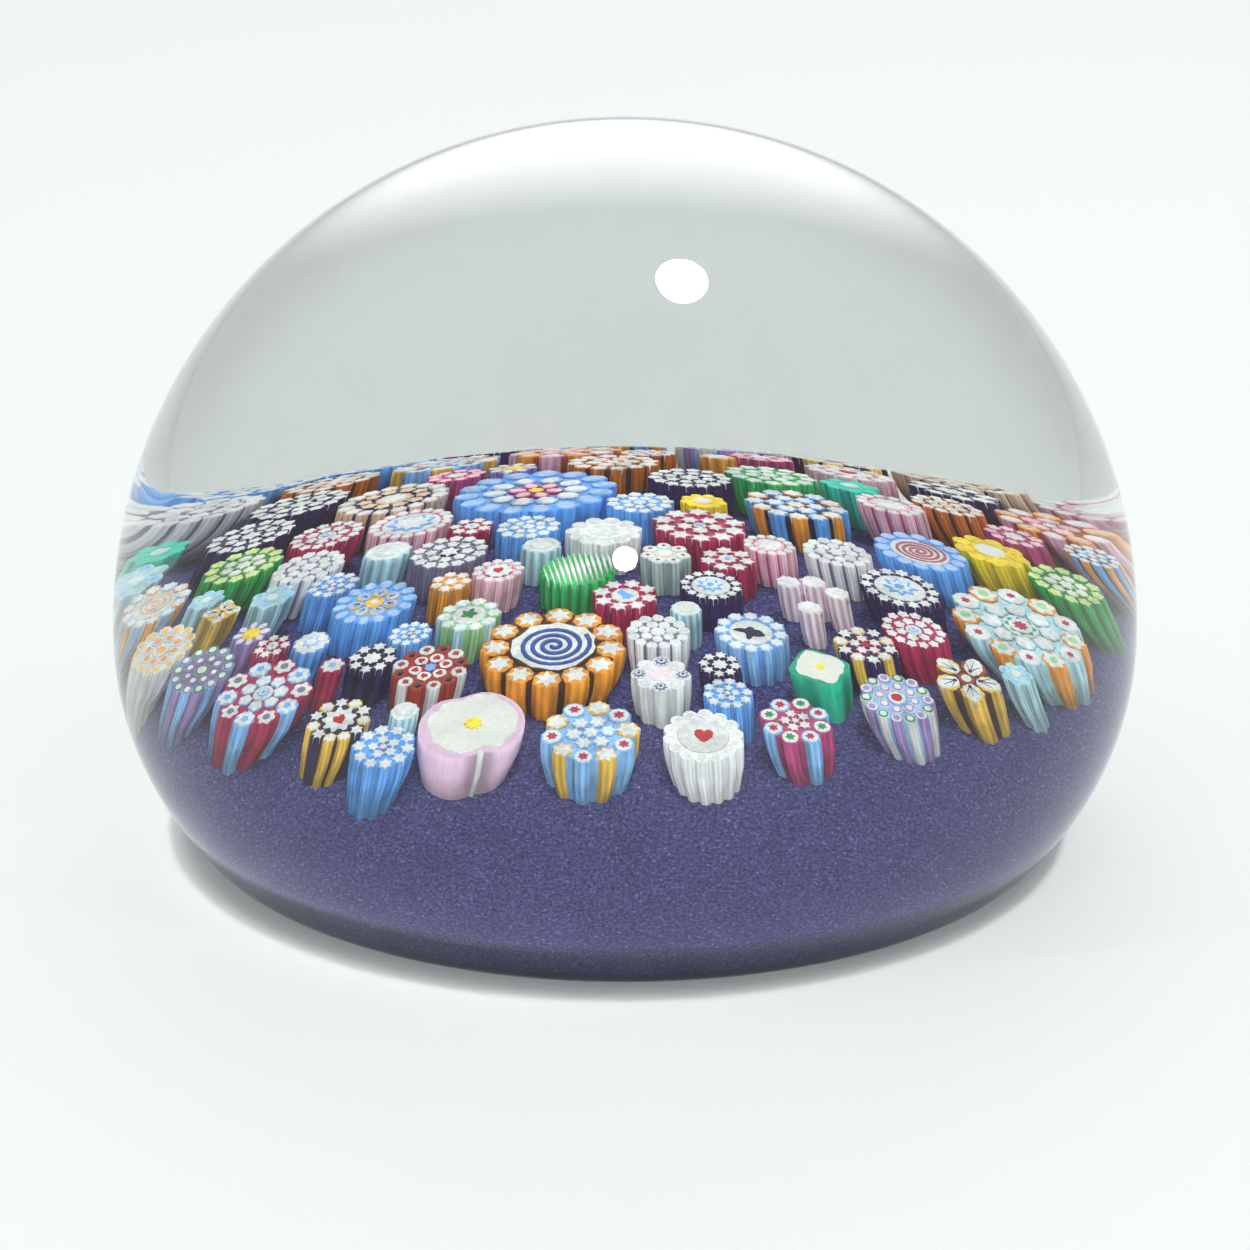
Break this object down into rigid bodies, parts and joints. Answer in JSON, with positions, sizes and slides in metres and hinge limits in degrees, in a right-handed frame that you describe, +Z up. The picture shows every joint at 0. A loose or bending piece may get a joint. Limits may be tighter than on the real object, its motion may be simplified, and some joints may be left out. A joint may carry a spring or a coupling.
{
  "type": "paperweight",
  "caption": "Domed glass paperweight: clear crystal over a cushion of patterned cane slices set upright in a violet glass ground.",
  "frame": {"origin": "centre of the foot ring, on the plane that the weight rests on", "axes": "+Z up through the crown of the dome, -Y towards the front of the cane pattern, +X to its right"},
  "size_m": [0.076, 0.076, 0.0523],
  "materials": {
    "clear_casing": "clear lead crystal, fire-polished crown",
    "colour_ground": "translucent violet glass with a fine granular frit",
    "base_gather": "clear lead crystal, ground foot ring and polished hollow",
    "cane_blue_spiral": "amber rods round a white disc with a blue spiral",
    "cane_yellow_dot": "mauve glass over a fibrous white core with a yellow dot",
    "cane_star_cluster": "light blue and yellow rods with white star cores",
    "cane_blue_crimped": "bright blue crimped rod with a white top",
    "cane_heart_amber": "yellow and purple rods round a white core with a red heart",
    "cane_crimson_rosette": "crimson and light blue rods round white cogs",
    "cane_navy_stars": "white stars in dark navy glass",
    "cane_brick_hearts": "brick red rods round white rods with red hearts",
    "cane_pale_tube": "pale aqua and mint tubes",
    "cane_blue_petals": "bright blue rods with pale petals round a crossed centre",
    "cane_green_leaf": "pale green rods round a white disc with a green leaf",
    "cane_amber_stars": "white stars in amber glass",
    "cane_heart_pink": "pink-white crimped rod with a red heart",
    "cane_grey_lace": "grey-white lace cane",
    "cane_green_zigzag": "green and white zigzag cane",
    "cane_white_plain": "plain opal white rod",
    "cane_four_petal": "yellow rods with four striped petals",
    "cane_aqua_plain": "plain pale aqua and pale blue rods",
    "cane_daisy": "white daisy with a yellow centre",
    "cane_crimson_stars": "white stars in crimson glass",
    "cane_blue_disc": "white rod with a blue centre",
    "cane_white_crimped": "white crimped rod",
    "cane_green_lace": "white lace in green glass",
    "cane_black_lace": "white lace in near-black glass",
    "cane_crimson_lace": "white lace in crimson glass",
    "cane_sun": "white sun with a blue centre in pink glass",
    "cane_beige_lace": "beige lace in brown glass",
    "cane_blue_rosette": "pale blue petals round pink, bright blue sides",
    "cane_blue_lace": "white lace in blue glass",
    "cane_magenta": "magenta and pale pink rods",
    "cane_amber_lace": "white lace in amber glass",
    "cane_teal_plain": "plain turquoise rod",
    "cane_beige_spiral": "beige spiral in pale amber and aqua glass",
    "cane_honeycomb": "white cane with an amber honeycomb",
    "cane_lilac_rings": "small green rings in lilac and blue glass",
    "cane_ruby_ring": "white stars in ruby glass",
    "cane_hare": "white disc with a blue hare, crimson sides",
    "cane_red_dotted": "white cells dotted with red",
    "cane_purple_lace": "white lace in dark purple glass",
    "cane_blue_bird": "white disc with a navy bird, bright blue sides",
    "cane_white_fibrous": "white fibrous rod",
    "cane_four_stars": "four white rods with blue star outlines",
    "cane_heart_white": "white ribbed rod with a red heart",
    "cane_two_star_ring": "raspberry and light blue rods with star cores",
    "cane_cream_teal": "cream disc in teal glass",
    "cane_pink_tubes": "small pale pink tubes",
    "cane_red_spiral": "white disc with a red spiral, bright blue sides",
    "cane_red_centre": "white stars with a red centre, yellow and dark sides",
    "cane_many_rings": "many small rings in white and lilac glass",
    "cane_bow_petals": "white petals with black veins, yellow sides",
    "cane_aqua_rosette": "pale aqua and amber rods round white cogs",
    "cane_yellow_plain": "plain bright yellow rod",
    "cane_beige_petals": "beige petals, amber and pink sides",
    "cane_pink_stripes": "white crimped top, pink striped sides",
    "cane_bright_green": "white lace in bright green glass",
    "cane_blue_amber": "white stars, blue and amber sides"
  },
  "bodies": {
    "root": {"clear_casing": "clear_casing", "colour_ground": "colour_ground", "base_gather": "base_gather", "cane_blue_spiral": "cane_blue_spiral", "cane_yellow_dot": "cane_yellow_dot", "cane_star_cluster": "cane_star_cluster", "cane_blue_crimped": "cane_blue_crimped", "cane_heart_amber": "cane_heart_amber", "cane_crimson_rosette": "cane_crimson_rosette", "cane_navy_stars": "cane_navy_stars", "cane_brick_hearts": "cane_brick_hearts", "cane_pale_tube": "cane_pale_tube", "cane_blue_petals": "cane_blue_petals", "cane_green_leaf": "cane_green_leaf", "cane_amber_stars": "cane_amber_stars", "cane_heart_pink": "cane_heart_pink", "cane_grey_lace": "cane_grey_lace", "cane_green_zigzag": "cane_green_zigzag", "cane_white_plain": "cane_white_plain", "cane_four_petal": "cane_four_petal", "cane_aqua_plain": "cane_aqua_plain", "cane_daisy": "cane_daisy", "cane_crimson_stars": "cane_crimson_stars", "cane_blue_disc": "cane_blue_disc", "cane_white_crimped": "cane_white_crimped", "cane_green_lace": "cane_green_lace", "cane_black_lace": "cane_black_lace", "cane_crimson_lace": "cane_crimson_lace", "cane_sun": "cane_sun", "cane_beige_lace": "cane_beige_lace", "cane_blue_rosette": "cane_blue_rosette", "cane_blue_lace": "cane_blue_lace", "cane_magenta": "cane_magenta", "cane_amber_lace": "cane_amber_lace", "cane_teal_plain": "cane_teal_plain", "cane_beige_spiral": "cane_beige_spiral", "cane_honeycomb": "cane_honeycomb", "cane_lilac_rings": "cane_lilac_rings", "cane_ruby_ring": "cane_ruby_ring", "cane_hare": "cane_hare", "cane_red_dotted": "cane_red_dotted", "cane_purple_lace": "cane_purple_lace", "cane_blue_bird": "cane_blue_bird", "cane_white_fibrous": "cane_white_fibrous", "cane_four_stars": "cane_four_stars", "cane_heart_white": "cane_heart_white", "cane_two_star_ring": "cane_two_star_ring", "cane_cream_teal": "cane_cream_teal", "cane_pink_tubes": "cane_pink_tubes", "cane_red_spiral": "cane_red_spiral", "cane_red_centre": "cane_red_centre", "cane_many_rings": "cane_many_rings", "cane_bow_petals": "cane_bow_petals", "cane_aqua_rosette": "cane_aqua_rosette", "cane_yellow_plain": "cane_yellow_plain", "cane_beige_petals": "cane_beige_petals", "cane_pink_stripes": "cane_pink_stripes", "cane_bright_green": "cane_bright_green", "cane_blue_amber": "cane_blue_amber"}
  },
  "joints": []
}
